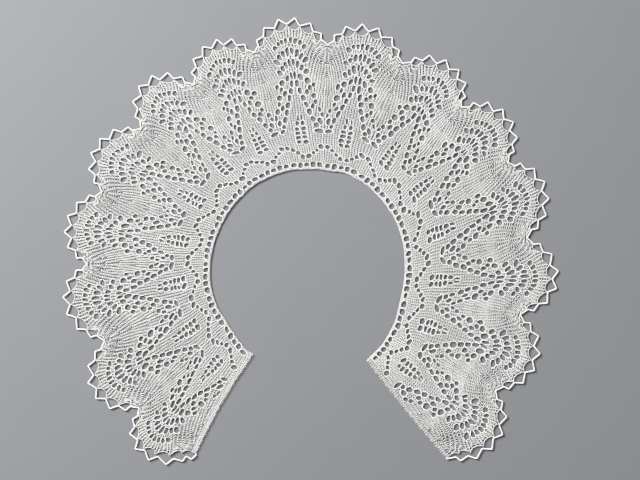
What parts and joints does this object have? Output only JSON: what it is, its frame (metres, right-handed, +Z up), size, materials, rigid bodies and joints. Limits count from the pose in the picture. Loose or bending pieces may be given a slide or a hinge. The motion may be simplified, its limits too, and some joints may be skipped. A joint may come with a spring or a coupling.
{
  "type": "lace collar laid flat",
  "caption": "Wide scalloped collar of white knitted lace with a crocheted chain-loop edging, laid flat and open at the front.",
  "frame": {"origin": "middle of the collar's outline, on the surface it lies on", "axes": "+Z up out of the lace, -Y towards the open front, +X towards the right-hand front as seen from above"},
  "size_m": [0.3902, 0.3518, 0.0015],
  "materials": {
    "lace": "white mercerised cotton thread, knitted lace",
    "neck_edge": "white mercerised cotton thread, firm cast-on edge",
    "front_edge": "white mercerised cotton thread, plain knitted selvedge",
    "chain_edging": "white mercerised cotton thread, crocheted chain"
  },
  "bodies": {
    "root": {"neck_band": "neck_edge", "lace_body": "lace", "front_edge_left": "front_edge", "front_edge_right": "front_edge", "edging_01": "chain_edging", "edging_02": "chain_edging", "edging_03": "chain_edging", "edging_04": "chain_edging", "edging_05": "chain_edging", "edging_06": "chain_edging", "edging_07": "chain_edging", "edging_08": "chain_edging", "edging_09": "chain_edging", "edging_10": "chain_edging", "edging_11": "chain_edging", "edging_12": "chain_edging", "edging_13": "chain_edging", "edging_14": "chain_edging", "edging_15": "chain_edging"}
  },
  "joints": []
}
